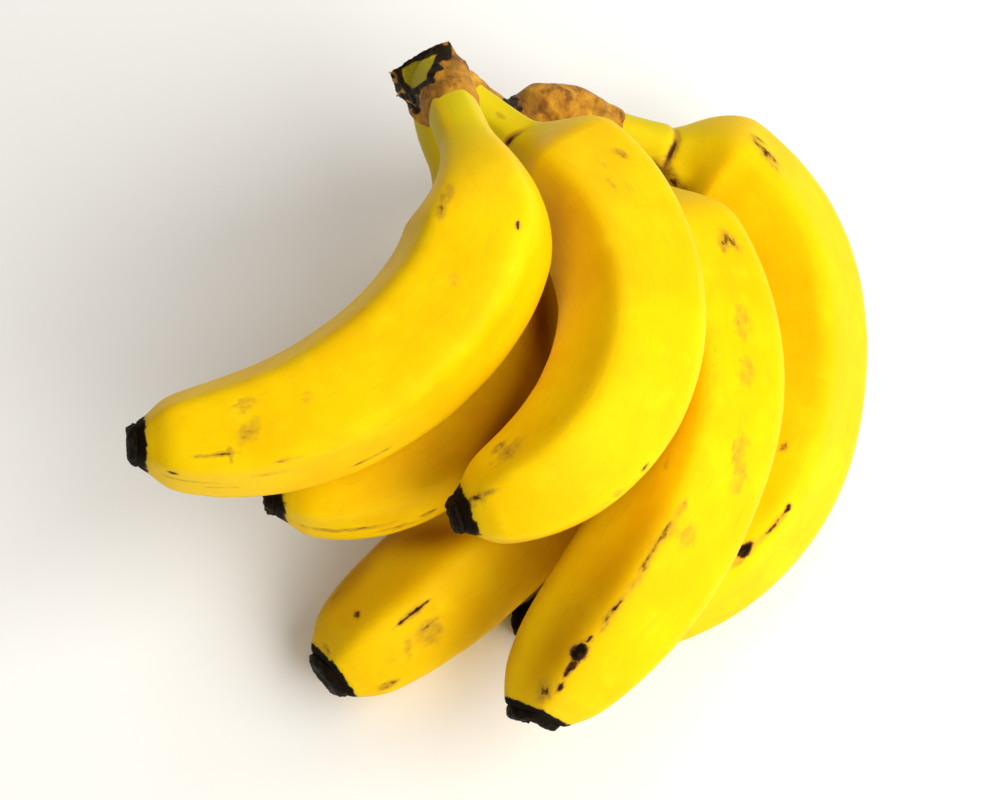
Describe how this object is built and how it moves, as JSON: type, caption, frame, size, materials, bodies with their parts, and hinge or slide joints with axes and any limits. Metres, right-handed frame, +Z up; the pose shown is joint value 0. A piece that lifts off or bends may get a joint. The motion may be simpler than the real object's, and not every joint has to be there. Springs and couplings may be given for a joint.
{
  "type": "bunch of bananas",
  "caption": "Bunch of ripe yellow bananas, still joined at a woody cut crown and dark at the dried flower ends, lying on its side on a surface.",
  "frame": {"origin": "on the surface that the bunch lies on, under the middle of its outline", "axes": "+Z up from the surface; the crown is toward +Y; the dried tips point toward -Y and, on the highest bananas, toward -X"},
  "size_m": [0.2182, 0.2082, 0.1248],
  "materials": {
    "peel": "satin, slightly waxy skin",
    "crown": "rough, dried and corky",
    "dried_tip": "rough, dried out"
  },
  "bodies": {
    "root": {"crown": "crown", "banana_1": "peel", "banana_2": "peel", "banana_3": "peel", "banana_4": "peel", "banana_5": "peel", "banana_6": "peel", "tip_1": "dried_tip", "tip_2": "dried_tip", "tip_3": "dried_tip", "tip_4": "dried_tip", "tip_5": "dried_tip", "tip_6": "dried_tip"}
  },
  "joints": []
}
